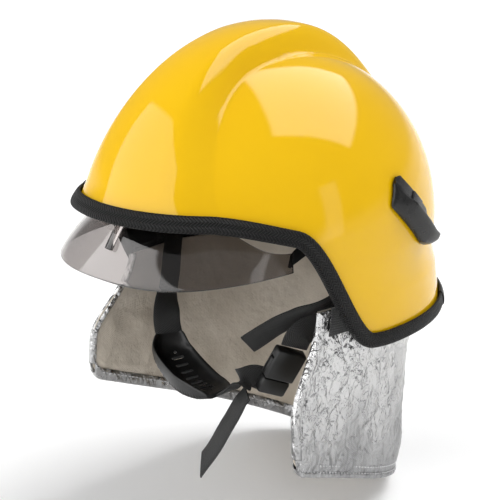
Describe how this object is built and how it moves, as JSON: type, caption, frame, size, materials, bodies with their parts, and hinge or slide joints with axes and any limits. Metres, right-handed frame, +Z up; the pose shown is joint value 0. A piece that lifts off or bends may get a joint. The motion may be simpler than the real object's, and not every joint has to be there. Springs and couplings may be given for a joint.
{
  "type": "firefighter helmet",
  "caption": "Yellow crested firefighter helmet with a flared brow, a clear drop-down eye shield, side lamp brackets, a cupped chin strap and an aluminised neck protector.",
  "frame": {"origin": "on the centre line of the head opening, at the height of the lower edge of the brow", "axes": "the wearer faces -Y, +X is the wearer's left, +Z is up"},
  "size_m": [0.2446, 0.2991, 0.35],
  "materials": {
    "shell": "glossy yellow paint on a moulded composite shell, clean, with soft highlights",
    "trim": "matt black edge beading with a fine herringbone rib",
    "guard": "smooth satin black rubber",
    "liner": "dark grey expanded foam with a fine bead grain",
    "plastic": "satin black moulded nylon",
    "leather": "tan leather with a fine grain and stitched edge",
    "webbing": "flat black woven webbing",
    "steel": "zinc plated",
    "lens": "clear polycarbonate with a warm pink tint, deeper at its cut edges",
    "bracket": "satin black nylon with a light bevelled lip",
    "cup": "soft black rubber with raised ribs",
    "buckle": "semi-gloss black acetal",
    "aluminised": "aluminised fabric, crinkled, bright metallic with a fine weave",
    "lining": "matt beige flame-resistant cotton",
    "tab": "black fabric tab with a light stitched edge"
  },
  "bodies": {
    "helmet": {"bracket_screw_left_1": "steel", "bracket_screw_left_2": "steel", "bracket_screw_right_1": "steel", "bracket_screw_right_2": "steel", "brow_pad": "leather", "buckle_socket": "buckle", "chin_strap_upper": "webbing", "cradle_clip_front": "plastic", "cradle_clip_left": "plastic", "cradle_clip_right": "plastic", "cradle_strap_front_rear": "webbing", "cradle_strap_side": "webbing", "edge_trim": "trim", "headband": "plastic", "impact_liner": "liner", "lamp_bracket_left": "bracket", "lamp_bracket_right": "bracket", "nape_pad": "leather", "neck_protector_lining": "lining", "neck_protector_outer": "aluminised", "protector_band": "webbing", "protector_stud_1": "steel", "protector_stud_2": "steel", "protector_stud_3": "steel", "protector_stud_4": "steel", "protector_tab_left": "tab", "protector_tab_right": "tab", "ratchet_base": "plastic", "ratchet_cover": "plastic", "rear_edge_guard": "guard", "shell": "shell", "side_frame_left": "plastic", "side_frame_right": "plastic", "strap_anchor_left": "steel", "strap_anchor_right": "steel", "strap_pull_end": "webbing", "visor_pivot_bolt_left": "steel", "visor_pivot_bolt_right": "steel", "visor_washer_left": "steel", "visor_washer_right": "steel"},
    "visor": {"visor_lens": "lens", "visor_grip": "lens", "visor_arm_left": "plastic", "visor_arm_right": "plastic"},
    "adjuster_knob": {"ratchet_knob": "plastic", "ratchet_pinion": "steel"},
    "band_tail_left": {"headband_tail_left": "plastic"},
    "band_tail_right": {"headband_tail_right": "plastic"},
    "chin_strap": {"chin_strap_right": "webbing", "chin_cup": "cup", "chin_strap_lower": "webbing", "chin_strap_tail": "webbing", "buckle_plug": "buckle"},
    "buckle_prong_rear": {"buckle_prong_rear": "buckle"},
    "buckle_prong_front": {"buckle_prong_front": "buckle"}
  },
  "joints": [
    {"name": "visor_tilt", "type": "hinge", "parent": "helmet", "child": "visor", "pos_m": [0, -0.005, -0.005], "axis": [1, 0, 0], "range_deg": [0, 25]},
    {"name": "adjuster_turn", "type": "hinge", "parent": "helmet", "child": "adjuster_knob", "pos_m": [0, 0.12, -0.022], "axis": [0, -1, 0], "range_deg": [0, 130]},
    {"name": "band_tail_left_draw", "type": "hinge", "parent": "helmet", "child": "band_tail_left", "pos_m": [0, 0.0477, -0.014], "axis": [0, 0, 1], "range_deg": [0, 10]},
    {"name": "band_tail_right_draw", "type": "hinge", "parent": "helmet", "child": "band_tail_right", "pos_m": [0, 0.0477, -0.03], "axis": [0, 0, -1], "range_deg": [0, 10]},
    {"name": "chin_strap_release", "type": "hinge", "parent": "helmet", "child": "chin_strap", "pos_m": [-0.0988, 0.007, -0.048], "axis": [0.1909, 0.9272, -0.3221], "range_deg": [0, 10]},
    {"name": "prong_rear_squeeze", "type": "slide", "parent": "chin_strap", "child": "buckle_prong_rear", "axis": [-0.3272, -0.8694, 0.3702], "range_m": [0, 0.0015], "stiffness_N_per_m": 600},
    {"name": "prong_front_squeeze", "type": "slide", "parent": "chin_strap", "child": "buckle_prong_front", "axis": [0.3272, 0.8694, -0.3702], "range_m": [0, 0.0015], "stiffness_N_per_m": 600}
  ],
  "couplings": [
    {"joint": "band_tail_left_draw", "follows": "adjuster_turn", "ratio": 0.0765},
    {"joint": "band_tail_right_draw", "follows": "adjuster_turn", "ratio": 0.0765}
  ]
}
